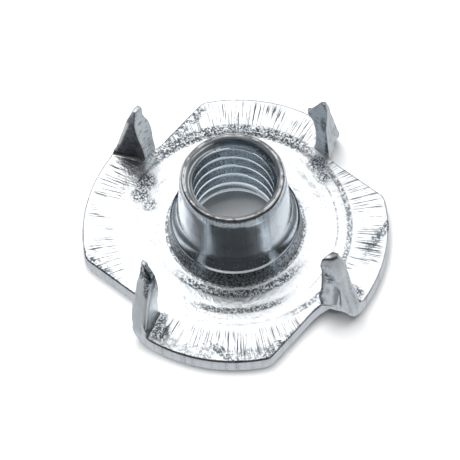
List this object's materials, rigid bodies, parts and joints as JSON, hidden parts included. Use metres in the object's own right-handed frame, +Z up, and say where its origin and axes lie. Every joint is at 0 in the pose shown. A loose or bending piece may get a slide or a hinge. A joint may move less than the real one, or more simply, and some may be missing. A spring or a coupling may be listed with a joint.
{
  "type": "four-prong tee nut",
  "caption": "Stamped steel tee nut: a flange with prongs folded up from its rim round a threaded barrel, hammered into wood to give it a metal thread.",
  "frame": {"origin": "centre of the bore in the plane of the flange's underside", "axes": "+Z up the barrel to its mouth, in the direction of the prongs; +X square to one of the sheared edges, towards that prong; +Y towards the next prong round"},
  "size_m": [0.019, 0.019, 0.007],
  "materials": {
    "zinc_steel": "bright blue-white zinc plate on drawn and stamped sheet steel, with a fine die grain on the flange and a burnished barrel"
  },
  "bodies": {
    "root": {"tee_nut": "zinc_steel"}
  },
  "joints": []
}
